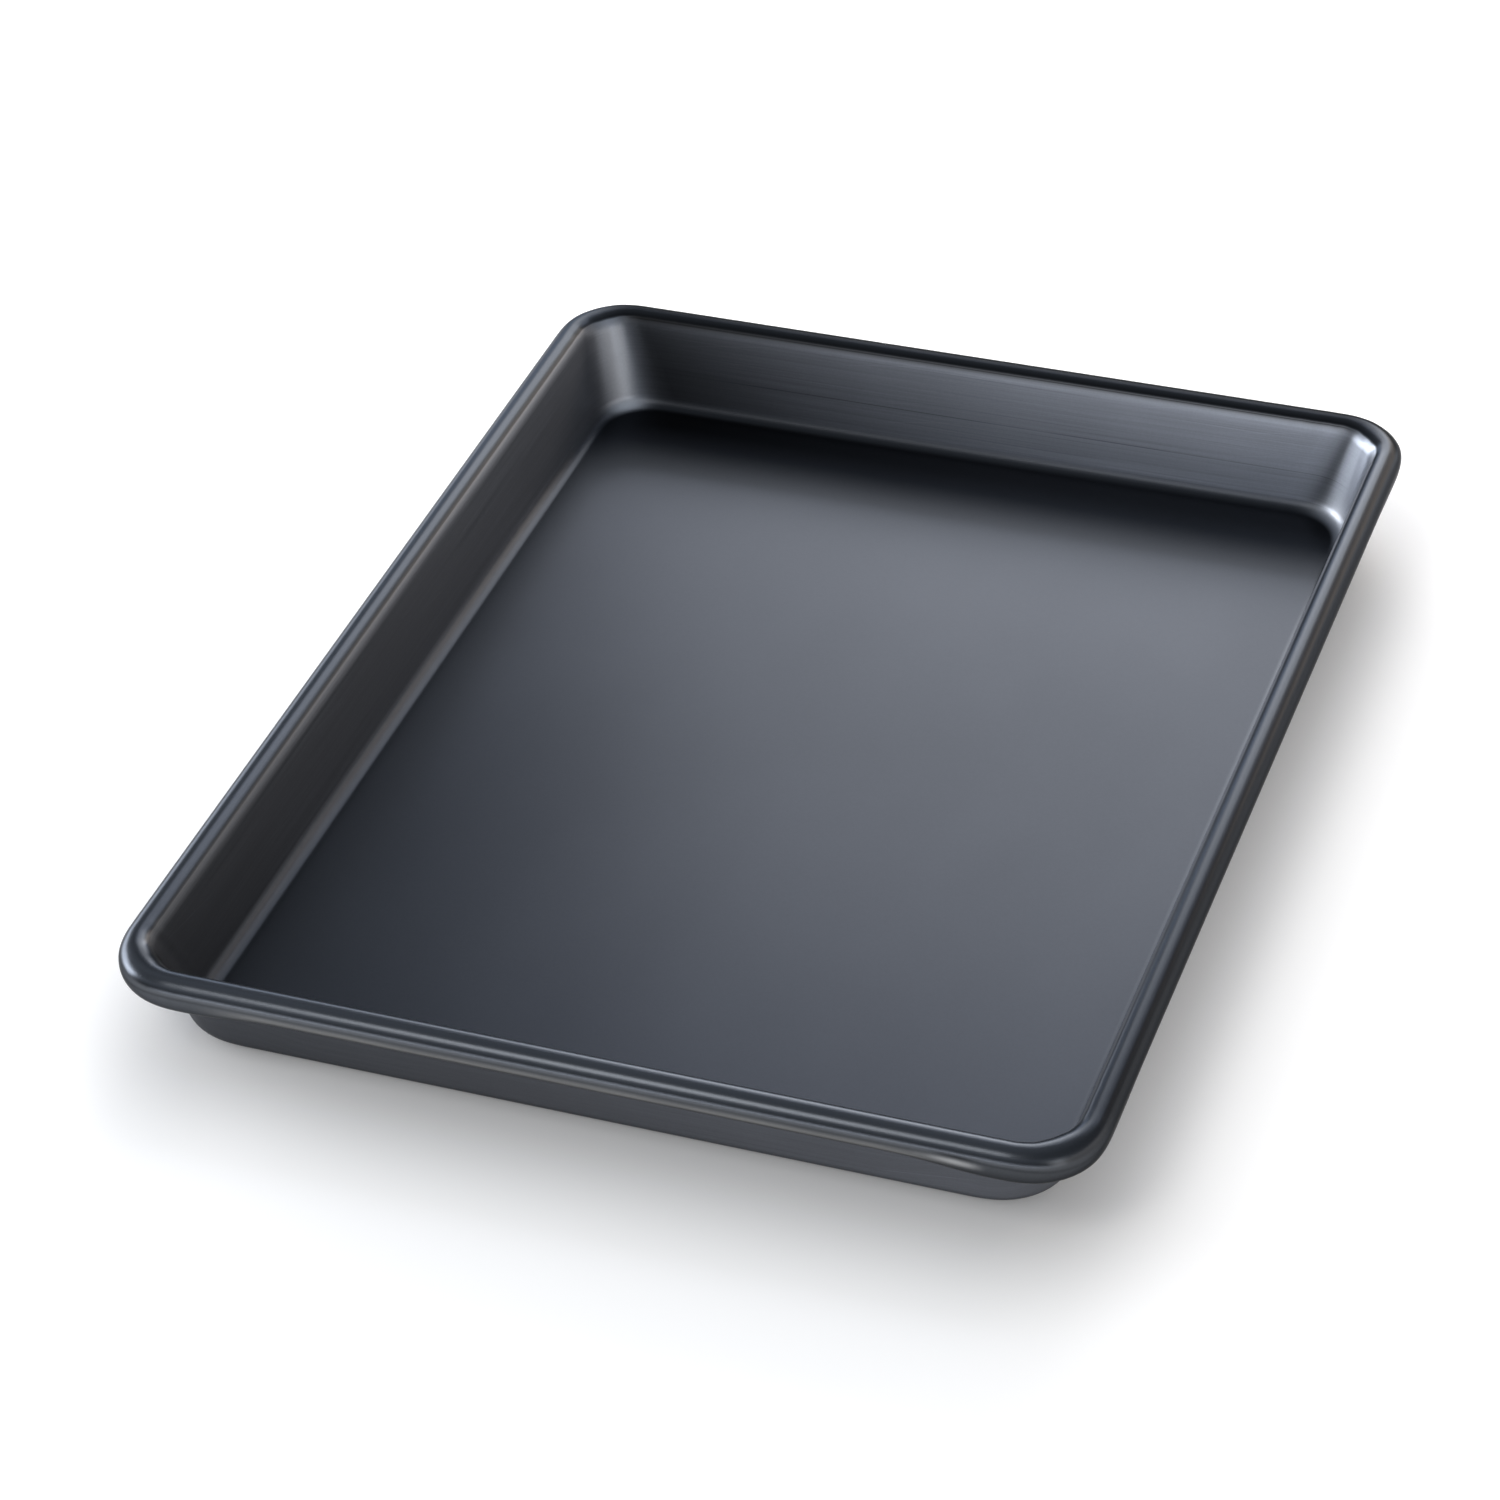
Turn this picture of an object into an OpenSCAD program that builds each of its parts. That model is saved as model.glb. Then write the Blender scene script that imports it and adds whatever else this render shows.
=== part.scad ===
// Rectangular jelly roll pan: one drawn sheet with its rim rolled over a steel wire.
// Millimetres, +Z up. The origin is the middle of the base, on the table.
// The long sides run along Y.

/* [Overall size] */
// Length over the rolled rim
rim_length = 330; // [240:1:480]
// Width over the rolled rim
rim_width = 247; // [160:1:340]
// Height from the table to the top of the rim
rim_height = 27.5; // [22:0.5:45]

/* [Drawn sheet] */
// Thickness of the sheet
sheet_t = 1; // [0.6:0.1:1.5]
// Lean of the walls, in degrees from upright
wall_lean = 12.8; // [4:0.2:24]
// Radius inside the pan where the floor turns up into the wall
floor_fillet_r = 4; // [2:0.5:7]
// Corner radius of the rim in plan, over the outside of the roll
rim_corner_r = 18.7; // [15:0.1:32]
// Corner radius in plan of the flat part of the floor
floor_corner_r = 13.2; // [2:0.1:26]

/* [Rolled rim] */
// Diameter of the roll
roll_d = 8; // [6:0.5:10]
// Gap between the rolled-under edge of the sheet and the outside of the wall
edge_gap = 0.5; // [0.3:0.1:1.5]

/* [Rim wire] */
// Radial clearance between the wire and the sheet rolled round it
wire_clearance = 0.15; // [0.12:0.01:0.5]
// Gap between the two ends of the wire
wire_end_gap = 1; // [0.5:0.5:5]

/* [Hidden] */

// Flat facets in each quarter turn of a plan corner, in a fillet and round the roll
corner_steps = 10;
fillet_steps = 5;
roll_steps = 20;
// Facets of the wire's round section
wire_fn = 48;

roll_r = roll_d / 2;
wire_r = roll_r - sheet_t - wire_clearance;
roll_z = rim_height - roll_r;

// The section is drawn in [u, z], where u is 0 at the outermost point of the roll
// and grows outwards, so every point of the pan has a negative u.
roll_centre = [-roll_r, roll_z];
// Direction square to the wall, pointing into the pan and upwards
wall_normal_angle = 180 - wall_lean;
fillet_z = sheet_t + floor_fillet_r;
fillet_centre = [
    -roll_r - (roll_r + floor_fillet_r - (fillet_z - roll_z) * sin(wall_lean)) / cos(wall_lean),
    fillet_z
];
// The roll stops where its outer face comes within edge_gap of the wall
roll_open_angle = acos((roll_r - sheet_t - edge_gap) / roll_r);
roll_end_angle = wall_normal_angle - (360 - roll_open_angle);
// How much the corner radius grows from the roll to the floor, beyond a plain offset
corner_growth = floor_corner_r - (rim_corner_r + fillet_centre[0]);

// Points of an arc about c, each with its share of the corner growth
function arc(c, r, from, to, steps, share) =
    [for (k = [0:steps])
        let (a = from + (to - from) * k / steps)
        [c[0] + r * cos(a), c[1] + r * sin(a), share]];

// The section from the edge of the floor's top face, up the inner face of the wall,
// round the roll, back inside it and down the outer face of the wall to the base
section = concat(
    arc(fillet_centre, floor_fillet_r, -90, -wall_lean, fillet_steps, 1),
    arc(roll_centre, roll_r, wall_normal_angle, roll_end_angle, roll_steps, 0),
    arc(roll_centre, roll_r - sheet_t, roll_end_angle, wall_normal_angle, roll_steps, 0),
    arc(fillet_centre, floor_fillet_r + sheet_t, -wall_lean, -90, fillet_steps, 1)
);

// Rounded rectangle in plan through one point of the section, anticlockwise from above
function plan_ring(p) =
    let (
        r = rim_corner_r + p[0] + p[2] * corner_growth,
        half_w = rim_width / 2 + p[0] - r,
        half_l = rim_length / 2 + p[0] - r,
        side = [[1, 1], [-1, 1], [-1, -1], [1, -1]]
    )
    [for (q = [0:3]) for (k = [0:corner_steps])
        let (a = 90 * (q + k / corner_steps))
        [side[q][0] * half_w + r * cos(a), side[q][1] * half_l + r * sin(a), p[1]]];

// Closed skin over a stack of rings of n points, with a flat face on its first and last ring
function skin_faces(rings, n) = concat(
    [[for (j = [n - 1:-1:0]) j]],
    [for (i = [0:rings - 2]) for (j = [0:n - 1])
        let (next = (j + 1) % n)
        [i * n + j, i * n + next, (i + 1) * n + next, (i + 1) * n + j]],
    [[for (j = [0:n - 1]) (rings - 1) * n + j]]
);

// The one drawn sheet: floor, leaning walls and the rim rolled outwards and under
module pan_shell() {
    ring_points = 4 * (corner_steps + 1);
    color([0.17, 0.19, 0.23])
    polyhedron(
        points = [for (p = section) each plan_ring(p)],
        faces = skin_faces(len(section), ring_points),
        convexity = 6
    );
}

// A quarter turn of the wire about a plan corner's centre
module wire_bend(quarter) {
    side_x = (quarter == 0 || quarter == 3) ? 1 : -1;
    side_y = quarter < 2 ? 1 : -1;
    translate([
        side_x * (rim_width / 2 - rim_corner_r),
        side_y * (rim_length / 2 - rim_corner_r),
        roll_z
    ])
    rotate([0, 0, 90 * quarter])
    rotate_extrude(angle = 90, $fn = 4 * wire_fn)
    translate([rim_corner_r - roll_r, 0])
    circle(r = wire_r, $fn = wire_fn);
}

// A straight length of the wire along X, centred on the origin
module wire_along_x(span) {
    rotate([0, 90, 0]) cylinder(h = span, r = wire_r, center = true, $fn = wire_fn);
}

// The reinforcing wire inside the roll: one loop whose ends meet in the middle of a long side
module rim_wire() {
    short_span = rim_width - 2 * rim_corner_r;
    long_span = rim_length - 2 * rim_corner_r;
    end_span = (long_span - wire_end_gap) / 2;
    color([0.62, 0.63, 0.64])
    union() {
        for (quarter = [0:3]) wire_bend(quarter);
        for (side = [-1, 1])
            translate([0, side * (rim_length / 2 - roll_r), roll_z])
            wire_along_x(short_span);
        translate([rim_width / 2 - roll_r, 0, roll_z])
        rotate([0, 0, 90]) wire_along_x(long_span);
        for (side = [-1, 1])
            translate([roll_r - rim_width / 2, side * (wire_end_gap + end_span) / 2, roll_z])
            rotate([0, 0, 90]) wire_along_x(end_span);
    }
}

pan_shell();
rim_wire();
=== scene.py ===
# %% [markdown]
# # A dark satin jelly roll pan
# The pan is one drawn sheet of aluminium: a flat floor, walls that lean outwards and a rim that is
# rolled over a steel wire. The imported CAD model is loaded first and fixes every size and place.
# This script then gives the sheet its smooth skin and its finish, and sets up the light and the view.

# %% Load the frame
import math
import bpy
import numpy as np
from mathutils import Matrix, Vector


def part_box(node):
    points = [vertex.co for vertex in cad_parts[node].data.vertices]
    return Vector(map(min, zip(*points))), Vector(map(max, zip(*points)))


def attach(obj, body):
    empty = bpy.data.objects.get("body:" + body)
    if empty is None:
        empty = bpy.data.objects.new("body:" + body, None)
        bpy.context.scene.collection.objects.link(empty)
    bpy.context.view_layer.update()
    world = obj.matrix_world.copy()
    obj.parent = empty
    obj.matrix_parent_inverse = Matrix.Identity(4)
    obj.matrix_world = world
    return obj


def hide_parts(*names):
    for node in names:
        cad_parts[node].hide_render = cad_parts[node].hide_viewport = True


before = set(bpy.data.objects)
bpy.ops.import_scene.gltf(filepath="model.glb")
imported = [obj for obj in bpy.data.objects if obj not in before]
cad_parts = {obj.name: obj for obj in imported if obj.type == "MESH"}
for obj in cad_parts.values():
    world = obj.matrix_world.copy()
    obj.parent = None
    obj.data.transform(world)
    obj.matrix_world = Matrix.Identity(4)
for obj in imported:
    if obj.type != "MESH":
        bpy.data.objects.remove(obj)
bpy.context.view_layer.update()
low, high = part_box("pan_shell")
rim_width, rim_length, rim_height = high - low
print("rim", round(rim_width, 4), "x", round(rim_length, 4), "m, height", round(rim_height, 4))

# %% [markdown]
# The overall sizes come from the frame. The sizes of the section can't be read from a box, so they are
# named here in metres: the sheet's thickness, the fillet, the roll and the corner radii. The floor's
# corners are nearly as round as the rim's, so a corner of the wall is a leaning cone.

# %% Sizes of the section
MM = 0.001
sheet_t = 1.0 * MM
floor_fillet_r = 4.0 * MM
rim_corner_r = 18.7 * MM
floor_corner_r = 13.2 * MM
roll_r = 4.0 * MM
edge_gap = 0.5 * MM
floor_inset = 16.41 * MM

corner_growth = floor_corner_r - (rim_corner_r - floor_inset)
print("a corner's radius grows by", round(corner_growth / MM, 2), "mm from the rim to the floor")

# %% [markdown]
# A pan could be a box with bevels, but a real one is a section carried round a path, so it is made that
# way. The path is a rounded rectangle. A plain quarter circle would start to turn all at once, and a
# satin wall shows that as a hard line, so here the turn builds up and dies away over part of each
# corner. Each column of the grid has a place that doesn't depend on the corner's radius: a mix of the
# corners' centres, and a point of the unit corner. The columns lie closest in and near the corners. An
# eased corner reaches further along the sides, so that its middle lies where a quarter circle's would.

# %% Columns round the pan
CORNER_STEPS = 36
SIDE_STEPS = 40
EASE = 0.3
FINE = 60


def unit_corner():
    """Quarter turn from (1, 0) to (0, 1) with its heading. The heading's rate rises evenly from nil over
    the first EASE of the length and falls over the last; the points are the sum of its steps."""
    fine = np.linspace(0, 1, CORNER_STEPS * FINE + 1)
    rate = np.clip(np.minimum(fine, 1 - fine) / EASE, 0, 1)
    heading = np.concatenate([[0], np.cumsum((rate[1:] + rate[:-1]) / 2)])
    heading *= math.pi / 2 / heading[-1]
    middle = (heading[1:] + heading[:-1]) / 2
    along = np.concatenate([[0], np.cumsum(np.cos(middle))])
    across = np.concatenate([[0], np.cumsum(np.sin(middle))])
    return np.stack([1 - across / across[-1], along / along[-1], heading], 1)[::FINE]


def path_columns():
    """Mix of corner centres (sx, sy), unit corner's point (tx, ty) and heading of each column,
    anticlockwise from +X. On a side the mix goes from corner to corner as (1 - cos(pi t)) / 2."""
    corners = np.array([[1, 1], [-1, 1], [-1, -1], [1, -1]], float)
    curve = unit_corner()
    parts = []
    for quarter in range(4):
        here, there = corners[quarter], corners[(quarter + 1) % 4]
        c, s = round(math.cos(quarter * math.pi / 2)), round(math.sin(quarter * math.pi / 2))
        turn = np.stack([np.full(len(curve), here[0]), np.full(len(curve), here[1]),
                         c * curve[:, 0] - s * curve[:, 1], s * curve[:, 0] + c * curve[:, 1],
                         curve[:, 2]], 1)
        t = (1 - np.cos(math.pi * np.linspace(0, 1, SIDE_STEPS + 1)[1:-1, None])) / 2
        centre = here * (1 - t) + there * t
        run = np.concatenate([centre, np.repeat(turn[-1:, 2:], len(t), axis=0)], axis=1)
        parts += [turn, run]
    return np.concatenate(parts)


columns = path_columns()
eased_reach = (1 - math.sqrt(0.5)) / (1 - unit_corner()[CORNER_STEPS // 2, 0])
print("columns", len(columns), "and an eased corner starts", round(eased_reach, 3), "radii away")

# %% [markdown]
# The outer edge of the rim gives each column its distance along the path. It drives all that changes
# along the rim and the fine lines of the finish, which run with it.

# %% Distance along the rim
side_x, side_y, turn_x, turn_y, heading = columns.T
eased_r = rim_corner_r * eased_reach
rim_x = side_x * (rim_width / 2 - eased_r) + eased_r * turn_x
rim_y = side_y * (rim_length / 2 - eased_r) + eased_r * turn_y
step = np.hypot(np.diff(rim_x, append=rim_x[0]), np.diff(rim_y, append=rim_y[0]))
path_s = np.concatenate([[0], np.cumsum(step)[:-1]])
path_length = step.sum()
print("the rim is", round(path_length, 3), "m round")

# %% [markdown]
# At a corner the sheet gathers as it is turned under, and the roll there is fatter and hangs lower. It
# could be one thickness all round, but then the rim's underside would run dead level, and on a real pan
# it dips at each corner. So the roll's radius bulges with the turn, its underside sags towards the
# corner, and the bead carries faint ripples where the sheet had to gather.

# %% Bulge and sag of the roll
bulge_r = 0.6 * MM
sag = 2.0 * MM
sag_fade = 26 * MM
ripple_r = 0.03 * MM
ripple_pitch = 7 * MM

corner_share = np.sin(2 * heading) ** 2
off_corner = np.hypot((1 - abs(side_x)) * (rim_width / 2 - rim_corner_r),
                      (1 - abs(side_y)) * (rim_length / 2 - rim_corner_r))
sag_share = (1 + np.cos(math.pi * np.clip(off_corner / sag_fade, 0, 1))) / 2
ripples = round(path_length / ripple_pitch)
ripple = np.sin(2 * math.pi * ripples * path_s / path_length) * sag_share
column_roll_r = roll_r + bulge_r * corner_share + ripple_r * ripple
column_drop = 2 * roll_r + sag * sag_share
print("the roll is", round(2 * column_roll_r.max() / MM, 2), "mm wide and",
      round(column_drop.max() / MM, 2), "mm deep at its thickest")

# %% [markdown]
# The section is a line in (u, z), where u is 0 at the rim's outermost point and negative further in. It
# runs up the inner face of the wall, round the roll, back inside it and down the outer face. The wall
# is straight, and under the rim it flares softly into the roll. It touches the floor's fillet on one
# side and the flare on the other, so its lean follows from the two circles. The roll stops where its
# rounded lip comes within a small gap of the wall. Every array here is one row per point of the section
# and one column per place on the path.

# %% The section of the sheet
FILLET_STEPS = 16
WALL_STEPS = 16
FLARE_STEPS = 14
ROLL_STEPS = 60
HIDDEN_STEPS = 24
EDGE_STEPS = 6


def arc(centre, radius, start, end, steps):
    """Points centre + radius * (cos a, sin a) for angles a from start to end, for every column."""
    a = start + (end - start) * np.linspace(0, 1, steps + 1)[:, None]
    return np.stack([centre[0] + radius * np.cos(a), centre[1] + radius * np.sin(a)], axis=-1)


def between(p, q):
    """Points p + (q - p) * (1 - cos(pi t)) / 2 of a straight line without its ends, closest near them,
    so that the wall's shading stays flat right up to the arcs that it runs into."""
    t = (1 - np.cos(math.pi * np.linspace(0, 1, WALL_STEPS + 1)[1:-1, None, None])) / 2
    return p * (1 - t) + q * t


def wall_lean(flare_centre, fillet_centre):
    """Lean of the line that touches both circles, one on each side of it. With D from the fillet's
    centre to the flare's, cos(angle of D + lean) = (flare radius + fillet radius) / length of D."""
    du, dz = flare_centre[0] - fillet_centre[0], flare_centre[1] - fillet_centre[1]
    reach = (flare_r + floor_fillet_r) / np.hypot(du, dz)
    return np.arccos(reach) - np.arctan2(dz, du)


flare_r = 6.0 * MM
flare_end = math.radians(144)
roll_centre = (-column_roll_r, rim_height - column_roll_r)
flare_centre = (roll_centre[0] + (column_roll_r - flare_r) * math.cos(flare_end),
                roll_centre[1] + (column_roll_r - flare_r) * math.sin(flare_end))
fillet_centre = (np.full_like(path_s, -floor_inset), np.full_like(path_s, sheet_t + floor_fillet_r))
lean = wall_lean(flare_centre, fillet_centre)
wall_normal = math.pi - lean
lip_r = sheet_t / 2
lip_room = column_roll_r - sheet_t - lip_r - edge_gap
roll_end = wall_normal - 2 * math.pi + np.arccos(lip_room / column_roll_r)
print("the walls lean", np.degrees(lean).min().round(2), "to", np.degrees(lean).max().round(2), "degrees")

# %% [markdown]
# The line is built piece by piece, always as an arc about a centre or a straight run. A thick sheet could
# come from a Solidify modifier, but the lip of the roll is a rounded edge that Solidify leaves square, so
# the inner side of the sheet is drawn too. The zone array remembers which piece each point came from.

# %% Points of the section
def hang(points):
    """Below the roll's centre, heights are stretched so that the lowest point hangs column_drop under
    the top of the rim: z = centre - (centre - z) * (drop - radius) / radius."""
    u, z = points[..., 0], points[..., 1]
    below = np.clip(roll_centre[1] - z, 0, None)
    return np.stack([u, z - below * ((column_drop - column_roll_r) / column_roll_r - 1)], axis=-1)


inner_fillet = arc(fillet_centre, floor_fillet_r, -math.pi / 2, -lean, FILLET_STEPS)
flare_out = arc(flare_centre, flare_r, wall_normal, flare_end, FLARE_STEPS)
roll_out = hang(arc(roll_centre, column_roll_r, flare_end, roll_end, ROLL_STEPS)[1:])
lip_centre = (roll_centre[0] + (column_roll_r - lip_r) * np.cos(roll_end),
              roll_centre[1] + (column_roll_r - lip_r) * np.sin(roll_end))
lip = hang(arc(lip_centre, lip_r, roll_end, roll_end - math.pi, EDGE_STEPS)[1:-1])
roll_in = hang(arc(roll_centre, column_roll_r - sheet_t, roll_end, flare_end, HIDDEN_STEPS)[:-1])
flare_in = arc(flare_centre, flare_r - sheet_t, flare_end, wall_normal, FLARE_STEPS)
outer_fillet = arc(fillet_centre, floor_fillet_r + sheet_t, -lean, -math.pi / 2, FILLET_STEPS)
pieces = [
    inner_fillet,
    between(inner_fillet[-1], flare_out[0]),
    flare_out,
    roll_out,
    lip,
    roll_in,
    flare_in,
    between(flare_in[-1], outer_fillet[0]),
    outer_fillet,
]
FILLET, WALL, FLARE, ROLL, LIP, HIDDEN, UNDER_FLARE, OUTSIDE, FOOT = range(9)
zone = np.concatenate([np.full(len(piece), number) for number, piece in enumerate(pieces)])
section = np.concatenate(pieces)
print("section points", len(section))

# %% [markdown]
# A point's corner radius is the rim's, less its distance in from the rim, plus its share of the growth.
# The share rises evenly with depth on the walls and is nil on the outside and underside of the roll.

# %% Sweep the section round the path
def sweep(points):
    """Grid of positions: x = sx * half_w + r * tx, y = sy * half_l + r * ty, z = z, where r = (corner
    radius + u + share * growth) * eased_reach, and half_w, half_l = half the rim + u - r."""
    u, z = points[..., 0], points[..., 1]
    depth = np.clip((rim_height - z) / (rim_height - sheet_t), 0, 1)
    rolled = np.isin(zone, (ROLL, LIP, HIDDEN))[:, None]
    past_top = rolled & ((u > roll_centre[0]) | (z < roll_centre[1]))
    share = np.where(past_top, 0, depth)
    r = (rim_corner_r + u + share * corner_growth) * eased_reach
    x = side_x * (rim_width / 2 + u - r) + r * turn_x
    y = side_y * (rim_length / 2 + u - r) + r * turn_y
    return np.stack([x, y, z], axis=-1)


skin = sweep(section)
print("skin spans", np.ptp(skin.reshape(-1, 3), axis=0).round(4))

# %% [markdown]
# The skin's first and last rings are closed by flat discs of shrinking rings that end in one middle
# point. Their first step is small, for the same reason as on the wall: a flat face next to a curved one
# only shades flat if a narrow face lies between them.

# %% Close the floor and the base
DISC_RINGS = 14


def disc_rows(ring):
    """Copies of a ring, scaled about the z axis by 1 - (i / n) squared for i = 1 to n - 1."""
    scale = 1 - (np.arange(1, DISC_RINGS) / DISC_RINGS)[:, None, None] ** 2
    rows = np.repeat(ring[None], DISC_RINGS - 1, axis=0)
    return rows * np.concatenate([scale, scale, np.ones_like(scale)], axis=2)


def closed_skin(name, grid):
    """Mesh of quads between neighbouring rings, with a fan of triangles at each end."""
    rings, count, _ = grid.shape
    top = np.array([[0, 0, grid[0, 0, 2]]])
    bottom = np.array([[0, 0, grid[-1, 0, 2]]])
    points = np.concatenate([grid.reshape(-1, 3), top, bottom])
    i, j = np.meshgrid(np.arange(rings - 1), np.arange(count), indexing="ij")
    right = (j + 1) % count
    quads = np.stack([i * count + j, (i + 1) * count + j, (i + 1) * count + right,
                      i * count + right], axis=-1).reshape(-1, 4)
    j = np.arange(count)
    right = (j + 1) % count
    last = (rings - 1) * count
    fan_top = np.stack([np.full(count, rings * count), j, right], axis=1)
    fan_bottom = np.stack([np.full(count, rings * count + 1), last + right, last + j], axis=1)
    mesh = bpy.data.meshes.new(name)
    mesh.from_pydata(points, [], quads.tolist() + fan_top.tolist() + fan_bottom.tolist())
    mesh.shade_smooth()
    return mesh


grid = np.concatenate([disc_rows(skin[0])[::-1], skin, disc_rows(skin[-1])])
pan_mesh = closed_skin("pan_sheet", grid)
pan = bpy.data.objects.new("pan_sheet", pan_mesh)
bpy.context.scene.collection.objects.link(pan)
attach(pan, "root")
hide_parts("pan_shell")
print("pan faces", len(pan_mesh.polygons))

# %% [markdown]
# Much of the sheet's look is set by place. The floor keeps its dark film and the walls are drawn lighter,
# and on top of that light and shade are painted into the colour: painted reflections along the walls and
# the roll, painted highlights in the far corners and painted shade in other places. A painted map could
# hold that, but the shapes already say where each place is. So every vertex gets a few values that follow
# the section and the path, and the material blends its tones by them. These helpers make such values.

# %% Helpers for values on the sheet
def per_vertex(grid_rows):
    """One value for each vertex from one per ring and column: the floor's rings and middle get the
    first row and the base's get the last, as those discs carry no pattern."""
    grid_rows = np.concatenate([np.repeat(grid_rows[:1], DISC_RINGS - 1, axis=0), grid_rows,
                                np.repeat(grid_rows[-1:], DISC_RINGS - 1, axis=0)])
    flat = grid_rows.reshape(-1, grid_rows.shape[-1])
    return np.concatenate([flat, flat[:1], flat[-1:]])


def rows(**spans):
    """One value per point of the section: each named piece runs evenly from its first value to its
    second, and the pieces that aren't named have 0."""
    numbers = {"fillet": FILLET, "wall": WALL, "flare": FLARE, "roll": ROLL, "outside": OUTSIDE,
               "foot": FOOT}
    values = np.zeros(len(zone))
    for piece, (start, end) in spans.items():
        here = zone == numbers[piece]
        values[here] = np.linspace(start, end, here.sum())
    return values


def on_sheet(down, around=1):
    """Grid of one value per point of the section times one per column."""
    return down[:, None] * np.broadcast_to(around, path_s.shape)


def bell(values, centre, width):
    """exp(-((value - centre) / width) squared): 1 at the centre and nearly nil two widths from it."""
    return np.exp(-((values - centre) / width) ** 2)


print("vertices of the sheet", len(pan_mesh.vertices))

# %% [markdown]
# The drawing lines run round the pan, so their texture has to follow the path and not the x and y axes.
# A distance along the path would jump where the path closes. Two numbers that place each column on a
# circle as long as the path have no such seam, and the third is the distance along the section.

# %% Place on the sheet
travel = np.linalg.norm(np.diff(section, axis=0, prepend=section[:1]), axis=-1)
down_s = np.cumsum(travel, axis=0)
turn = 2 * math.pi * path_s / path_length
circle_r = path_length / (2 * math.pi)
ring_x = np.broadcast_to(circle_r * np.cos(turn), down_s.shape)
ring_y = np.broadcast_to(circle_r * np.sin(turn), down_s.shape)
place_attribute = pan_mesh.attributes.new("sheet_place", "FLOAT_VECTOR", "POINT")
sheet_place = per_vertex(np.stack([ring_x, ring_y, down_s], axis=-1))
place_attribute.data.foreach_set("vector", sheet_place.ravel())
print("the section is", round(float(down_s[-1].mean()) / MM, 1), "mm long, and the pattern's circle has",
      "a radius of", round(circle_r, 3), "m")

# %% [markdown]
# Each side and corner of the pan gets painted light and shade and marks of its own, so the columns have
# to know where they are. They could be picked by their number, but a mark that starts at a column would
# show its edge. The point of the unit corner is better: it is 1 along a side and falls smoothly over the
# corners at its ends. A power of it makes the fall quicker. Within a corner, a hump over the turn picks
# out a part of it.

# %% Sides and corners
far_left_strength = 0.92
turned = heading / (math.pi / 2)


def corner_hump(to_right, to_far, lag=1, power=2):
    """sin(pi * turned ** lag) ** power over one corner, and nil elsewhere. Going anticlockwise, its top
    lies in mid corner where lag is 1, later where lag is more and earlier where it is less."""
    here = ((rim_x > 0) == to_right) & ((rim_y > 0) == to_far)
    return here * np.sin(math.pi * turned ** lag) ** power


far_wall = np.clip(turn_y, 0, 1) ** 4
near_wall = np.clip(-turn_y, 0, 1) ** 1.5
left_wall = np.clip(-turn_x, 0, 1) ** 4
far_run = far_wall * np.clip(rim_x / rim_width + 0.5, 0, 1)
far_left_corner = far_left_strength * corner_hump(False, True, 0.85, 3)
far_right_corner = corner_hump(True, True, 0.55, 1.5)
far_right_shaded_end = corner_hump(True, True, 3)
near_left_corner = corner_hump(False, False)
print("columns on the far wall", int((far_wall > 0.5).sum()), "and in its right corner",
      int((far_right_corner > 0.5).sum()))

# %% [markdown]
# A press doesn't rub the sheet alike all round, and in a studio each wall mirrors another part of the
# room. Lamps could give the second, but each of them lights several walls at once, so the second is
# painted: every wall gets a level, partly polish and partly painted reflection, by which its tone is
# multiplied, where it starts and where it ends, anticlockwise from the far right corner. A corner takes
# the sheet from one level to the next, and two corners get painted shade.

# %% Levels of polish and painted reflection round the pan
side_starts = path_s[CORNER_STEPS::CORNER_STEPS + SIDE_STEPS]
side_ends = np.append(path_s[CORNER_STEPS + SIDE_STEPS::CORNER_STEPS + SIDE_STEPS], path_length)
far_end_painted_shade = 0.78
near_left_painted_shade = 0.85


def levels_round(far, left, near, right):
    """Level of each column, straight lines between the levels at every side's start and end."""
    stations = np.stack([side_starts, side_ends], axis=1).ravel()
    return np.interp(path_s, stations, [*far, *left, *near, *right], period=path_length)


inside_polish_and_sheen = levels_round(far=(5.3, 0.47), left=(1.6, 0.76), near=(0.5, 0.5), right=(0.5, 1.2))
# Painted shade at the end of the far right corner and in the near left corner, inside.
inside_polish_and_sheen *= (1 - far_end_painted_shade * far_right_shaded_end) * (1 - near_left_painted_shade * near_left_corner)
roll_polish_and_sheen = levels_round(far=(1.1, 1.0), left=(1.1, 1.6), near=(2.3, 2.0), right=(0.8, 1.1))
outside_polish_and_sheen = levels_round(far=(1.2, 1.0), left=(1.0, 0.9), near=(0.8, 1.7), right=(1.5, 1.2))
print("levels from", round(inside_polish_and_sheen.min(), 2), "to", round(inside_polish_and_sheen.max(), 2), "inside")

# %% [markdown]
# Down the section the finish changes with what the press did there. The floor was only held, so it keeps
# its film up to the fillet. The wall was drawn, and its tone grows lighter towards the rim; the roll was
# bent after that, so its own tone sets in a few degrees past the flare. A point of the roll is named by
# its angle about the roll's centre: 144 degrees at the flare, 90 at the top, 0 at the outermost point and
# below 0 underneath.

# %% Rows of the section
roll_fade = 6
half_way_share = 0.45

up_fillet = rows(fillet=(0, 1))
fillet_rise = np.sin(math.pi / 2 * up_fillet)
on_roll = zone == ROLL
roll_angle = np.degrees(flare_end + (roll_end.mean() - flare_end) * rows(roll=(0, 1)))
roll_rows = np.clip((math.degrees(flare_end) - roll_angle) / roll_fade, 0, 1)
roll_start = on_roll * (1 - roll_rows)
wall_rows = rows(wall=(1, 1), flare=(1, 1)) + roll_start
height_rows = rows(wall=(0, half_way_share), flare=(half_way_share, 1)) + roll_start
outside_rows = rows(outside=(1, 1), foot=(1, 0))
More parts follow.
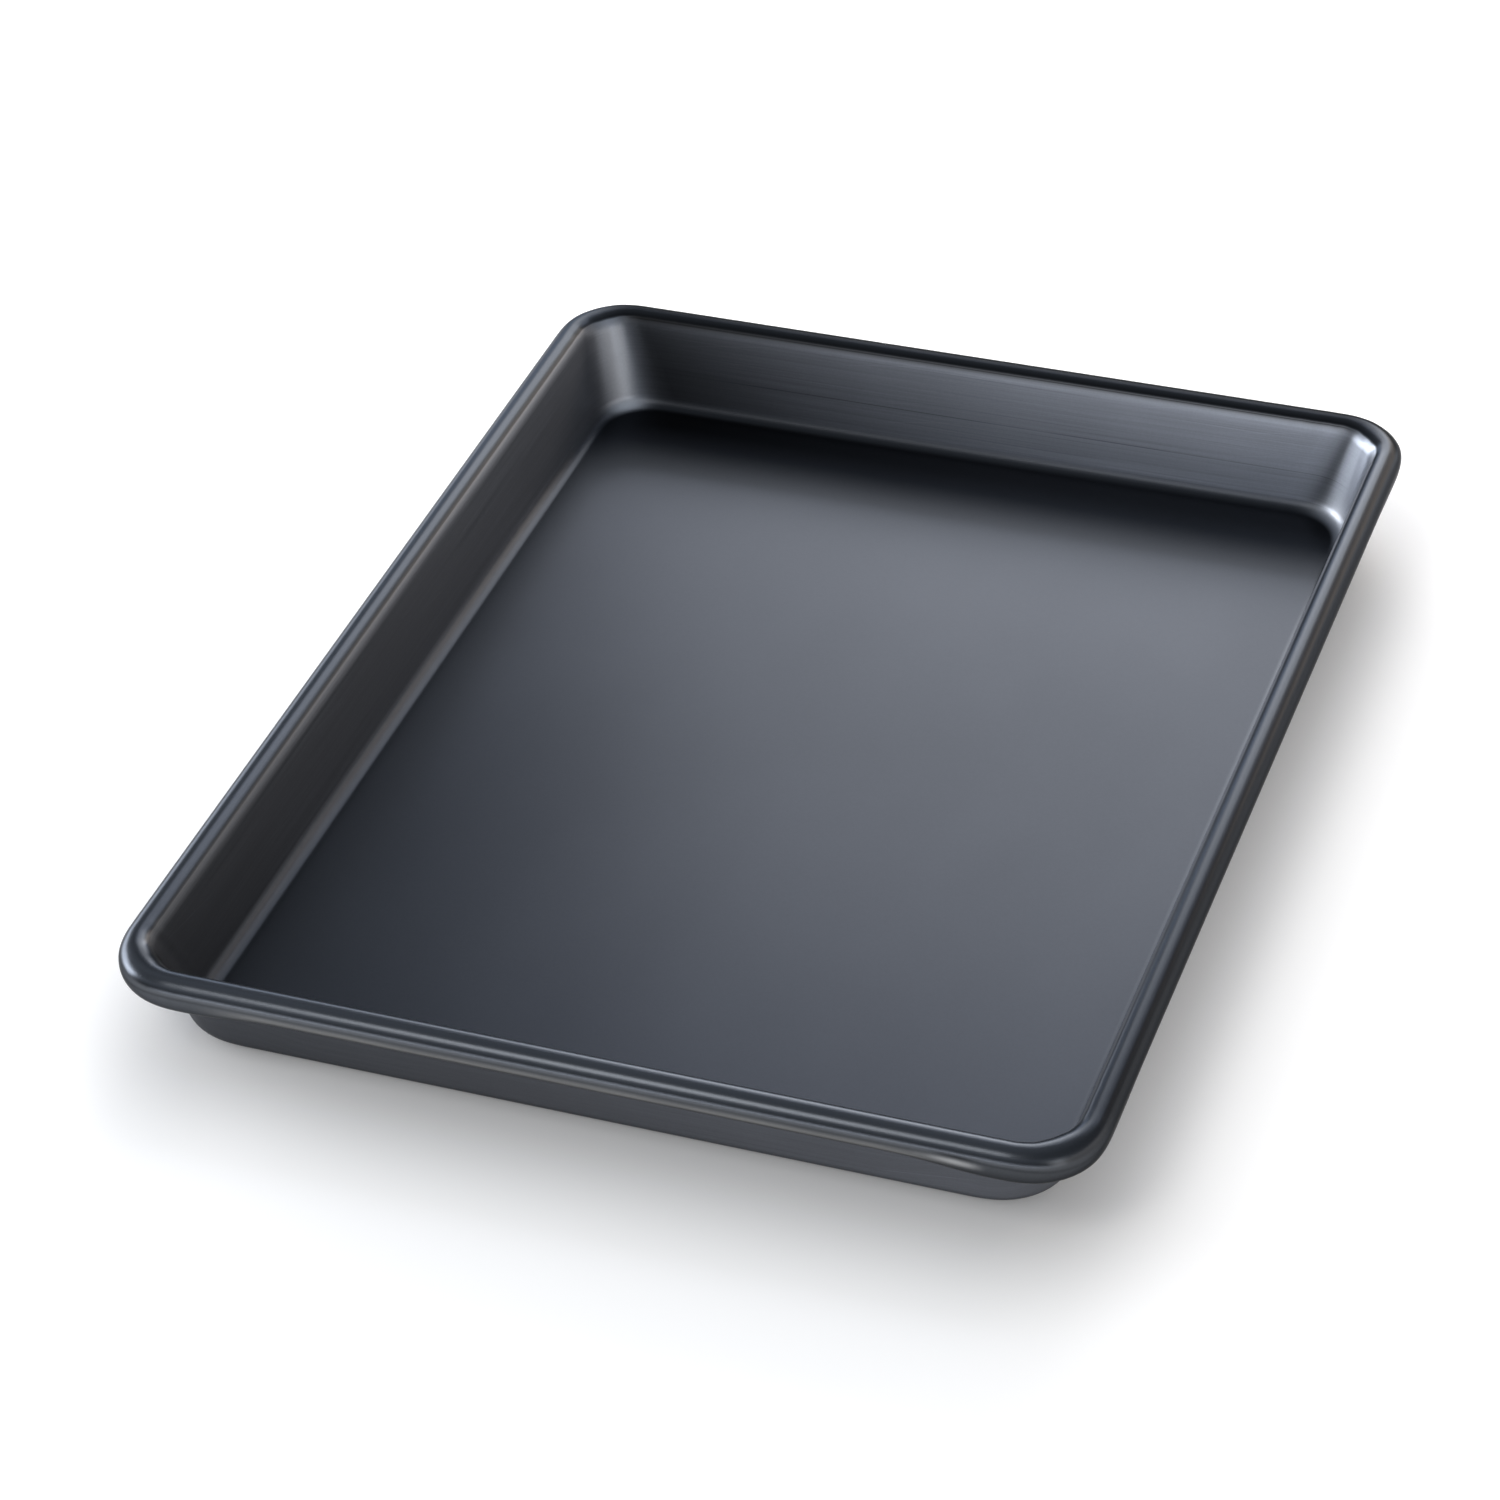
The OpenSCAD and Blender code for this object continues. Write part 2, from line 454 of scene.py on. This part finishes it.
# On the far wall the wall's tone comes in only near the top of the fillet, which paints shade into that
# fillet.
tone_grid = (on_sheet(up_fillet, 1 - far_wall) + on_sheet(up_fillet ** 5, far_wall)
             + on_sheet(wall_rows + outside_rows))
print("the roll turns from", round(roll_angle.max()), "to", round(roll_angle.min()), "degrees")

# %% [markdown]
# The bands along the near roll are painted reflections: lighter and darker bands along the rim at the
# angles where the roll mirrors bright and dark parts of the room, each of which only changes the level at
# its angle. The near roll has two painted highlights, two painted dark bands and painted shade on its
# back.
# The far roll and the flare below it get painted shade, except for one band where the shade is lifted. A
# band is written as its angle and its width in degrees, and as how much it changes the level.

# %% Painted bands along the roll
near_painted_bands = [(76, 10, 0.35), (44, 5, 0.35), (30, 6, -0.45), (5, 5, -0.4)]
near_back_painted_shade = 0.45
far_flare_painted_shade = 0.91
far_roll_painted_shade = 0.845
far_lifted_band = (118, 16)
far_band_lift = 0.715


def behind(start, span):
    """How far a point of the roll lies behind an angle: 0 up to start, 1 from start + span on."""
    return on_roll * np.clip((roll_angle - start) / span, 0, 1)


near_painted_rows = sum(change * bell(roll_angle, angle, width) for angle, width, change in near_painted_bands)
near_painted_rows = near_painted_rows - near_back_painted_shade * behind(84, 14)
far_painted_shade_rows = (far_flare_painted_shade * rows(flare=(0, 1)) ** 3
            + on_roll * (far_roll_painted_shade - far_band_lift * bell(roll_angle, *far_lifted_band)))
roll_back_shade_rows = behind(88, 25)
print("near roll changed by", round((near_painted_rows * on_roll).min(), 2), "to",
      round((near_painted_rows * on_roll).max(), 2))

# %% [markdown]
# Under the near roll a light band is painted sheen, where the roll's underside mirrors the white table,
# and near the right corner a pale leaf higher up is a painted highlight, with a painted dark line just
# above it. They have a place and a shape, so they are drawn as bells about an angle of the roll, and
# noise only breaks them up later. The leaf lasts as long as s * (1 - s), where s, the nearness to the
# corner, rises from
# 0 to 1.

# %% Painted sheen under the rim
under_sheen_band = (-18, 15)
leaf_width = 9
line_above = 20
line_width = 7

under_sheen_level = levels_round(far=(0.0, 0.0), left=(0.0, 0.0), near=(1.0, 1.1), right=(0.0, 0.0))
under_sheen_grid = on_sheet(on_roll * bell(roll_angle, *under_sheen_band), under_sheen_level * (1 - sag_share))
leaf_angle = -2 - 8 * sag_share
corner_near = sag_share ** 3
leaf_run = 4 * corner_near * (1 - corner_near) * near_wall * (rim_x > 0)
leaf = bell(roll_angle[:, None], leaf_angle, leaf_width) * on_sheet(on_roll, leaf_run)
leaf_shade_line = bell(roll_angle[:, None], leaf_angle + line_above, line_width) * on_sheet(on_roll, leaf_run)
# The print gives how strong the painted leaf and the painted band under the roll are.
print("the leaf is worn to", round(leaf.max(), 2), "and the band under the roll to",
      round(under_sheen_grid.max(), 2))

# %% [markdown]
# All of this comes together in one grid of levels, by multiplying. A level of 1 leaves a tone as it is.
# The level of a wall fades in up the fillet, so that the floor isn't touched by it: a profile that isn't
# nil at the fillet's foot would draw a step on the floor.

# %% Level of polish and painted light of every point
left_foot_painted_shade = 0.35
leaf_line_painted_shade = 0.7
corner_back_painted_shade = 0.65

# Painted shade at the foot of the left fillet, on the line above the leaf and on the back of the near
# left corner's roll.
left_foot = np.sin(math.pi * np.clip(2 * up_fillet, 0, 1)) ** 2
level = (1 + on_sheet(wall_rows + fillet_rise * up_fillet ** 2, inside_polish_and_sheen - 1)
         + on_sheet(outside_rows, outside_polish_and_sheen - 1) + on_sheet(roll_rows, roll_polish_and_sheen - 1))
level *= 1 + on_sheet(near_painted_rows * on_roll, near_wall)
level *= 1 - on_sheet(far_painted_shade_rows, far_wall)
level *= 1 - left_foot_painted_shade * on_sheet(left_foot, left_wall)
level *= 1 - leaf_line_painted_shade * leaf_shade_line
level *= 1 - corner_back_painted_shade * on_sheet(roll_back_shade_rows, near_left_corner)
print("level of polish from", round(level.min(), 2), "to", round(level.max(), 2))

# %% [markdown]
# The two far corners are the brightest parts inside, as their round shape gathers the light, and their
# tone carries a painted highlight. Their fillets get a painted glint, and in the right corner the foot of
# the wall does too. The glint could be left to the lamps alone, but here it is painted into the colour.
# Then all the values are stored on the mesh, where the shader reads them by name.

# %% Shares of the finish and of the painted light
leaf_glint = 0.3

# Painted glints in the far fillets, at the foot of the far right wall and on the leaf.
glint = (on_sheet(np.sin(math.pi * up_fillet) ** 2, far_left_corner ** 2)
         + on_sheet(fillet_rise ** 2 + rows(wall=(1, 0)) ** 6, far_right_corner))
inside_rows = wall_rows + fillet_rise
shares = {
    "polish_and_sheen": level,
    "tone_share": tone_grid,
    "glint_share": np.clip(glint + leaf_glint * leaf, 0, 1),
    "wall_share": on_sheet(inside_rows + outside_rows),
    "height_share": on_sheet(height_rows),
    "roll_share": on_sheet(roll_rows),
    "under_sheen_share": np.clip(under_sheen_grid + leaf, 0, 1),
    "painted_highlight_share": on_sheet(inside_rows, far_left_corner + far_right_corner),
    "far_share": on_sheet(inside_rows, far_run),
}
for name, values in shares.items():
    attribute = pan_mesh.attributes.new(name, "FLOAT", "POINT")
    attribute.data.foreach_set("value", per_vertex(values[..., None]).ravel())
print("shares:", ", ".join(f"{name} up to {values.max():.2f}" for name, values in shares.items()))

# %% [markdown]
# All three materials are small node graphs. A few helpers make each node and link it in one call, so that
# the graphs below read as what they compute. A value may be a number, a colour or another node's socket.

# %% Node helpers
def feed(tree, socket, value):
    """Link a socket to the value if it is one, or set the value on it."""
    if isinstance(value, bpy.types.NodeSocket):
        tree.links.new(value, socket)
    else:
        socket.default_value = value


def scalar_math(tree, operation, *values):
    """Math node."""
    node = tree.nodes.new("ShaderNodeMath")
    node.operation = operation
    for socket, value in zip(node.inputs, values):
        feed(tree, socket, value)
    return node.outputs[0]


def vector_math(tree, operation, *values):
    """Vector Math node, which gives a length or a vector."""
    node = tree.nodes.new("ShaderNodeVectorMath")
    node.operation = operation
    for socket, value in zip(node.inputs, values):
        feed(tree, socket, value)
    return node.outputs["Value" if operation == "LENGTH" else "Vector"]


def map_range(tree, source, low_in, high_in, low_out, high_out, kind="LINEAR"):
    """Map Range node: low_in..high_in of the source becomes low_out..high_out, clamped."""
    node = tree.nodes.new("ShaderNodeMapRange")
    node.interpolation_type = kind
    feed(tree, node.inputs["Value"], source)
    for socket, value in zip(("From Min", "From Max", "To Min", "To Max"),
                             (low_in, high_in, low_out, high_out)):
        node.inputs[socket].default_value = value
    return node.outputs["Result"]


def blend_tones(tree, share, first, second, kind="MIX"):
    """Mix node: first where the share is 0, second, or their product, where it is 1."""
    node = tree.nodes.new("ShaderNodeMix")
    node.data_type = "RGBA"
    node.blend_type = kind
    feed(tree, node.inputs["Factor"], share)
    feed(tree, node.inputs["A"], first)
    feed(tree, node.inputs["B"], second)
    return node.outputs["Result"]


def attribute_share(tree, name):
    """Attribute node that reads one of the sheet's own vertex attributes."""
    node = tree.nodes.new("ShaderNodeAttribute")
    node.attribute_name = name
    return node.outputs["Vector" if name == "sheet_place" else "Fac"]


def stretched_noise(tree, vector, waves, detail=4):
    """Noise node with its waves per metre given along each of the vector's axes."""
    node = tree.nodes.new("ShaderNodeTexNoise")
    feed(tree, node.inputs["Vector"], vector_math(tree, "MULTIPLY", vector, waves))
    node.inputs["Scale"].default_value = 1
    node.inputs["Detail"].default_value = detail
    return node.outputs["Fac"]


def new_tree(name):
    """Material with nodes, its tree and its shader."""
    material = bpy.data.materials.new(name)
    material.use_nodes = True
    return material, material.node_tree, material.node_tree.nodes["Principled BSDF"]


sheet_material, sheet, sheet_shader = new_tree("dark_satin_sheet")
print("node helpers ready")

# %% [markdown]
# The sheet is aluminium with a dark film: metallic, with little of it left to reflect. One tone all over
# would do for a stand-in, but the floor is the darkest, the drawn walls are lighter and partly matt, and
# their tone grows lighter towards the rim. On top come painted sheen under the near roll, a painted
# highlight in the two far corners and painted glints. So tones, written as linear values, are blended one
# after the other by the sheet's shares. A bare metal mirrors almost all light at a glancing angle. This
# film takes up more than half of it, which the edge tint stands for.

# %% Tones of the sheet
floor_tone = (0.037, 0.0395, 0.0447, 1)
wall_tone = (0.092, 0.097, 0.109, 1)
high_tone = (0.138, 0.142, 0.152, 1)
roll_tone = (0.042, 0.045, 0.050, 1)
painted_sheen_tone = (0.30, 0.30, 0.30, 1)
corner_highlight_tone = (0.46, 0.485, 0.53, 1)
glint_tone = (0.85, 0.87, 0.90, 1)
edge_tint = (0.42, 0.42, 0.42, 1)
floor_metallic = 0.95
wall_metallic = 0.6
least_sheen = 0.7

wall_fac = attribute_share(sheet, "wall_share")
corner_highlight_fac = attribute_share(sheet, "painted_highlight_share")
far_fac = attribute_share(sheet, "far_share")
place = attribute_share(sheet, "sheet_place")
sheen_breakup = stretched_noise(sheet, place, (40, 40, 900))
painted_sheen_fac = scalar_math(sheet, "MULTIPLY", attribute_share(sheet, "under_sheen_share"),
                       map_range(sheet, sheen_breakup, 0.35, 0.6, least_sheen, 1.0))
tone = blend_tones(sheet, attribute_share(sheet, "tone_share"), floor_tone, wall_tone)
tone = blend_tones(sheet, attribute_share(sheet, "height_share"), tone, high_tone)
tone = blend_tones(sheet, attribute_share(sheet, "roll_share"), tone, roll_tone)
# The level multiplies in the polish and the painted reflections and shade.
tone = blend_tones(sheet, 1.0, tone, attribute_share(sheet, "polish_and_sheen"), "MULTIPLY")
# Painted sheen under the near roll and on the leaf, broken up by noise.
tone = blend_tones(sheet, painted_sheen_fac, tone, painted_sheen_tone)
# Painted highlight in the two far corners.
tone = blend_tones(sheet, corner_highlight_fac, tone, corner_highlight_tone)
# Painted glints.
tone = blend_tones(sheet, attribute_share(sheet, "glint_share"), tone, glint_tone)
matt = scalar_math(sheet, "SUBTRACT", wall_fac, corner_highlight_fac)
feed(sheet, sheet_shader.inputs["Metallic"],
     map_range(sheet, matt, 0, 1, floor_metallic, wall_metallic))
sheet_shader.inputs["Specular Tint"].default_value = edge_tint
print("tones blended over", len(shares), "shares")

# %% [markdown]
# Close up, the walls show fine streaks that run with the rim. A picture of brushed metal would need to be
# laid round the corners, but noise does it by itself: it is long along the path and short across it. One
# layer goes a little lighter and darker, and one of sparse dark hairs keeps only the crests of its noise.
# Noise lies about 0.5, so a range that starts at 0.58 leaves nothing but crests.

# %% Streaks and hairs of the walls
streak_waves = (16, 16, 2400)
streak_change = 0.1
hair_waves = (13, 13, 1900)
hair_dark = 0.2
hair_elsewhere = 0.25

streaks = stretched_noise(sheet, place, streak_waves, 5)
streak_tint = map_range(sheet, streaks, 0.3, 0.7, 1 - streak_change, 1 + streak_change)
hairs = stretched_noise(sheet, place, hair_waves)
hair_depth = scalar_math(sheet, "MULTIPLY", map_range(sheet, hairs, 0.58, 0.72, 0, hair_dark),
                         map_range(sheet, far_fac, 0.05, 0.7, hair_elsewhere, 1))
hair_tint = scalar_math(sheet, "SUBTRACT", 1.0, hair_depth)
print("streaks", round(1000 / streak_waves[2], 2), "mm apart and", round(1000 / streak_waves[0]),
      "mm long")

# %% [markdown]
# Half way up the far wall runs one longer thin line, which the drawing ring left. It could be a groove,
# but it is finer than the mesh, so it is a dark line at one distance along the section, and noise along
# the path interrupts it. A few faint scratches run almost level, a little askew to the rim.

# %% Draw line and scratches
line_s = 12.8 * MM
line_half_width = 0.22 * MM
line_dark = 0.38
scratch_light = 0.2
scratch_slope = math.radians(8)

across = vector_math(sheet, "ABSOLUTE", vector_math(sheet, "SUBTRACT", place, (0, 0, line_s)))
split = sheet.nodes.new("ShaderNodeSeparateXYZ")
feed(sheet, split.inputs[0], across)
line = map_range(sheet, split.outputs["Z"], 0, line_half_width, 1, 0, "SMOOTHSTEP")
line_gaps = map_range(sheet, stretched_noise(sheet, place, (30, 30, 0), 2), 0.4, 0.55, 0.35, 1)
line_here = scalar_math(sheet, "MULTIPLY", map_range(sheet, far_fac, 0.04, 0.2, 0, 1), line_gaps)
line_tint = map_range(sheet, scalar_math(sheet, "MULTIPLY", line, line_here), 0, 1, 1, 1 - line_dark)

object_place = sheet.nodes.new("ShaderNodeTexCoord").outputs["Object"]
tilt = sheet.nodes.new("ShaderNodeMapping")
tilt.inputs["Rotation"].default_value = (scratch_slope, scratch_slope, 0)
feed(sheet, tilt.inputs["Vector"], object_place)
scratches = stretched_noise(sheet, tilt.outputs[0], (22, 22, 2600), 3)
scratch_tint = map_range(sheet, scratches, 0.66, 0.76, 1, 1 + scratch_light)
print("the draw line is", line_s / MM, "mm up the section")

# %% [markdown]
# The floor is smooth. Only a fine grain shows close up, and slow, weak clouds where the film is a little
# thicker or thinner. Both are noise on the object's own coordinates. Clouds in straight ramps have faint
# edges where a ramp starts, which a smooth step rounds off.

# %% Grain and clouds of the film
grain_waves = 1500
cloud_waves = (14, 9, 9)
grain_change = 0.03
cloud_change = 0.06

grain = stretched_noise(sheet, object_place, (grain_waves,) * 3, 2)
clouds = stretched_noise(sheet, object_place, cloud_waves, 3)
grain_tint = map_range(sheet, grain, 0.3, 0.7, 1 - grain_change, 1 + grain_change)
cloud_tint = map_range(sheet, clouds, 0.2, 0.8, 1 - cloud_change, 1 + cloud_change, "SMOOTHSTEP")
film_tint = scalar_math(sheet, "MULTIPLY", grain_tint, cloud_tint)
marks_tint = scalar_math(sheet, "MULTIPLY", scalar_math(sheet, "MULTIPLY", streak_tint, line_tint),
                         scalar_math(sheet, "MULTIPLY", hair_tint, scratch_tint))
tone = blend_tones(sheet, 1.0, tone, film_tint, "MULTIPLY")
tone = blend_tones(sheet, matt, tone, marks_tint, "MULTIPLY")
feed(sheet, sheet_shader.inputs["Base Color"], tone)
print("grain", round(1000 / grain_waves, 1), "mm, clouds", round(1000 / cloud_waves[0]), "to",
      round(1000 / cloud_waves[1]), "mm")

# %% [markdown]
# How wide a highlight spreads is the roughness. The floor wasn't drawn and is the smoother part, and the
# walls are satin. The streaks change the roughness too, as real ones do, and dent the surface by a few
# thousandths of a millimetre, which a bump gives at no cost in faces.

# %% Roughness and bump of the sheet
floor_roughness = 0.278
wall_roughness = 0.42
streak_roughness = 0.04
cloud_roughness = 0.016
dent_depth = 0.02 * MM
dent_strength = 0.2

smooth_part = map_range(sheet, wall_fac, 0, 1, floor_roughness, wall_roughness)
streak_swing = map_range(sheet, streaks, 0.3, 0.7, -streak_roughness, streak_roughness)
streak_part = scalar_math(sheet, "MULTIPLY", streak_swing, wall_fac)
cloud_part = map_range(sheet, clouds, 0.2, 0.8, 0, cloud_roughness, "SMOOTHSTEP")
roughness = scalar_math(sheet, "ADD", smooth_part, scalar_math(sheet, "ADD", streak_part, cloud_part))
feed(sheet, sheet_shader.inputs["Roughness"], roughness)
bump = sheet.nodes.new("ShaderNodeBump")
bump.inputs["Strength"].default_value = dent_strength
bump.inputs["Distance"].default_value = dent_depth
feed(sheet, bump.inputs["Height"], scalar_math(sheet, "MULTIPLY", streaks, wall_fac))
feed(sheet, sheet_shader.inputs["Normal"], bump.outputs["Normal"])
pan_mesh.materials.append(sheet_material)
print("roughness", floor_roughness, "on the floor and", wall_roughness, "on the walls")

# %% [markdown]
# The wire is plain drawn steel, shut in the roll. It shows only where someone cuts the model open, but it
# has its finish all the same: brushed along its length, a little dull, with a few darker patches.

# %% Steel of the rim wire
steel_tone = (0.60, 0.61, 0.62, 1)
patch_tone = (0.46, 0.46, 0.47, 1)

wire_material, wire_tree, wire_shader = new_tree("drawn_steel_wire")
wire_place = wire_tree.nodes.new("ShaderNodeTexCoord").outputs["Object"]
draw_marks = stretched_noise(wire_tree, wire_place, (700, 700, 3000), 3)
patches = stretched_noise(wire_tree, wire_place, (35, 35, 35), 3)
steel = blend_tones(wire_tree, map_range(wire_tree, patches, 0.4, 0.65, 0, 1), steel_tone, patch_tone)
feed(wire_tree, wire_shader.inputs["Base Color"], steel)
feed(wire_tree, wire_shader.inputs["Roughness"], map_range(wire_tree, draw_marks, 0.3, 0.7, 0.24, 0.4))
wire_shader.inputs["Metallic"].default_value = 1.0
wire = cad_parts["rim_wire"]
for slot in wire.material_slots:
    slot.material = wire_material
print("the wire has", len(wire.material_slots), "material slot")

# %% [markdown]
# The photograph was taken with a long lens from the front right, about 36 degrees above the table. The
# numbers come from fitting a pinhole camera to the rim's outline. The camera could be aimed with a
# constraint, but a matrix from three directions is plain and gives the slight roll as well.

# %% Camera
lens_mm = 113.4
sensor_mm = 36.0
aim = Vector((-0.0152, 0.0002, 0.0))
distance = 1.237
azimuth = math.radians(20.42)
elevation = math.radians(36.06)
roll = math.radians(2.11)


def camera_axes(azimuth, elevation, roll):
    """Right, up and backward directions of a camera that looks along +Y at azimuth 0."""
    back = Vector((math.sin(azimuth) * math.cos(elevation), -math.cos(azimuth) * math.cos(elevation),
                   math.sin(elevation)))
    level = Vector((math.cos(azimuth), math.sin(azimuth), 0))
    up = back.cross(level)
    return (level * math.cos(roll) - up * math.sin(roll), up * math.cos(roll) + level * math.sin(roll),
            back)


camera_data = bpy.data.cameras.new("camera")
camera_data.lens = lens_mm
camera_data.sensor_width = sensor_mm
camera_data.clip_end = 20
camera = bpy.data.objects.new("camera", camera_data)
bpy.context.scene.collection.objects.link(camera)
right, up, back = camera_axes(azimuth, elevation, roll)
turn_camera = Matrix((right, up, back)).transposed().to_4x4()
camera.matrix_world = Matrix.Translation(aim + distance * back) @ turn_camera
bpy.context.scene.camera = camera
print("camera at", [round(v, 3) for v in camera.location])

# %% [markdown]
# The pan stands on a white tabletop that runs out of view. A white floor lit to white would need much
# more light than the pan can take, so the floor is pale, and what is missing to white is a faint glow
# that only the camera and mirror-like paths see. The glow fades out under and round the base, and that
# paints the soft shadow there, on top of the shadow that the lamps cast.

# %% Tabletop
table_half = 3.0
table_tone = (0.82, 0.80, 0.77, 1)

table_mesh = bpy.data.meshes.new("tabletop")
table_mesh.from_pydata([(-table_half, -table_half, 0), (table_half, -table_half, 0),
                        (table_half, table_half, 0), (-table_half, table_half, 0)], [], [(0, 1, 2, 3)])
tabletop = bpy.data.objects.new("tabletop", table_mesh)
bpy.context.scene.collection.objects.link(tabletop)
table_material = new_tree("white_tabletop")[0]
table = table_material.node_tree
table.nodes.clear()
print("the tabletop is", 2 * table_half, "m wide")

# %% [markdown]
# The glow needs two shares. One is where, and it is the painted shadow: it grows with the distance from
# the rounded rectangle of the base, from a faint rest at its edge to full strength a shadow's reach away.
# The
# other is for whom: the camera and mirror-like paths see it, and the light that falls on the pan stays as
# the lamps give it.

# %% Glow of the tabletop
seen_glow = 0.5
mirrored_glow = 0.5
painted_shadow_glow = 0.24
shadow_reach = 55 * MM

table_place = table.nodes.new("ShaderNodeTexCoord").outputs["Object"]
corner_in = floor_inset + floor_corner_r
base_corner = (rim_width / 2 - corner_in, rim_length / 2 - corner_in, 1)
beyond = vector_math(table, "SUBTRACT", vector_math(table, "ABSOLUTE", table_place), base_corner)
away = vector_math(table, "LENGTH", vector_math(table, "MAXIMUM", beyond, (0, 0, 0)))
# Painted shadow: the glow keeps a faint rest near the base, also where the pan mirrors the table.
painted_shadow_share = map_range(table, away, floor_corner_r, floor_corner_r + shadow_reach, painted_shadow_glow, 1,
                       "SMOOTHSTEP")
path = table.nodes.new("ShaderNodeLightPath")
mirrored = scalar_math(table, "MULTIPLY", path.outputs["Is Glossy Ray"], mirrored_glow)
wanted = scalar_math(table, "MULTIPLY_ADD", path.outputs["Is Camera Ray"], seen_glow, mirrored)
glow = table.nodes.new("ShaderNodeEmission")
feed(table, glow.inputs["Strength"], scalar_math(table, "MULTIPLY", wanted, painted_shadow_share))
diffuse = table.nodes.new("ShaderNodeBsdfDiffuse")
diffuse.inputs["Color"].default_value = table_tone
both = table.nodes.new("ShaderNodeAddShader")
feed(table, both.inputs[0], diffuse.outputs[0])
feed(table, both.inputs[1], glow.outputs[0])
output = table.nodes.new("ShaderNodeOutputMaterial")
feed(table, output.inputs["Surface"], both.outputs[0])
table_mesh.materials.append(table_material)
print("glow", painted_shadow_glow, "of full strength at the base,", seen_glow, "to the camera further out")

# %% [markdown]
# A dark satin metal shows the room more than its own colour, so most of its look is the light. The world
# stands for the room: dim, even and slightly blue. A picture of a studio could light it as well, but an
# even world and a few lamps are easier to understand and to change.

# %% World
world_colour = (0.9, 1.0, 1.15, 1)
world_strength = 0.26

world = bpy.data.worlds.new("studio")
bpy.context.scene.world = world
world.use_nodes = True
backdrop = world.node_tree.nodes["Background"]
backdrop.inputs["Color"].default_value = world_colour
backdrop.inputs["Strength"].default_value = world_strength
bpy.context.scene.view_settings.view_transform = "Standard"
print("world strength", world_strength)

# %% [markdown]
# Large area lamps stand round the pan as softboxes and cards do in a studio. A small lamp would leave a
# point on a satin bead, but the edge of a large one draws a soft line along it. The cards behind give the
# floor its slope of tones, and the low strip in front gives the near roll its line. Together they light
# a level surface at about the level at which a colour renders as it is written.

# %% Softboxes
LEFT_IN, BACK_IN, FRONT_IN, RIGHT_IN, DOWN = (1, 0, 0), (0, -1, 0), (0, 1, 0), (-1, 0, 0), (0, 0, -1)
NEUTRAL = (1, 1, 1)


def softbox(name, facing, centre, size, radiance, colour):
    """Rectangular area lamp that looks along facing, its width level. A lamp of area A that shines
    with radiance L gives off pi * A * L watts."""
    data = bpy.data.lights.new(name, "AREA")
    data.shape = "RECTANGLE"
    data.size, data.size_y = size
    data.energy = math.pi * size[0] * size[1] * radiance
    data.color = colour
    lamp = bpy.data.objects.new(name, data)
    z_axis = -Vector(facing)
    x_axis = Vector((1, 0, 0)) if facing == DOWN else Vector((0, 0, 1)).cross(z_axis)
    y_axis = z_axis.cross(x_axis)
    turn_lamp = Matrix((x_axis, y_axis, z_axis)).transposed().to_4x4()
    lamp.matrix_world = Matrix.Translation(centre) @ turn_lamp
    bpy.context.scene.collection.objects.link(lamp)


softboxes = [
    ("left_softbox", LEFT_IN, (-0.8, 0.35, 0.15), (1.3, 0.3), 8.0, (0.96, 1.0, 1.08)),
    ("back_softbox", BACK_IN, (-0.15, 1.0, 0.6), (0.6, 0.6), 4.6, NEUTRAL),
    ("back_core", BACK_IN, (-0.05, 0.98, 0.375), (0.6, 0.15), 5.0, (1.07, 1.0, 0.92)),
    ("back_left_card", BACK_IN, (-0.375, 1.02, 0.375), (0.85, 0.45), 3.3, (0.84, 1.0, 1.25)),
    ("back_wide_card", BACK_IN, (0.125, 1.04, 0.45), (1.35, 0.3), 2.5, (1.22, 1.0, 0.8)),
    ("back_right_card", BACK_IN, (0.65, 1.06, 0.15), (0.3, 0.3), 2.8, NEUTRAL),
    ("front_low_strip", FRONT_IN, (0.0, -0.98, 0.04), (1.6, 0.08), 4.6, (0.97, 1.0, 1.08)),
    ("front_core", FRONT_IN, (-0.125, -1.0, 0.15), (0.85, 0.1), 0.5, (0.93, 1.0, 1.1)),
    ("right_card", RIGHT_IN, (0.8, 0.0, 0.175), (1.8, 0.35), 0.87, (1.08, 1.0, 0.92)),
    ("right_front_card", RIGHT_IN, (0.82, -0.75, 0.3), (0.3, 0.6), 2.5, NEUTRAL),
    ("top_back_card", DOWN, (0.0, 0.85, 0.9), (1.0, 0.3), 2.0, (0.92, 1.0, 1.2)),
    ("top_front_strip", DOWN, (-0.3, -0.76, 0.92), (0.4, 0.45), 4.0, NEUTRAL),
]
for name, facing, centre, size, radiance, colour in softboxes:
    softbox(name, facing, centre, size, radiance, colour)
print("lamps", len(softboxes))
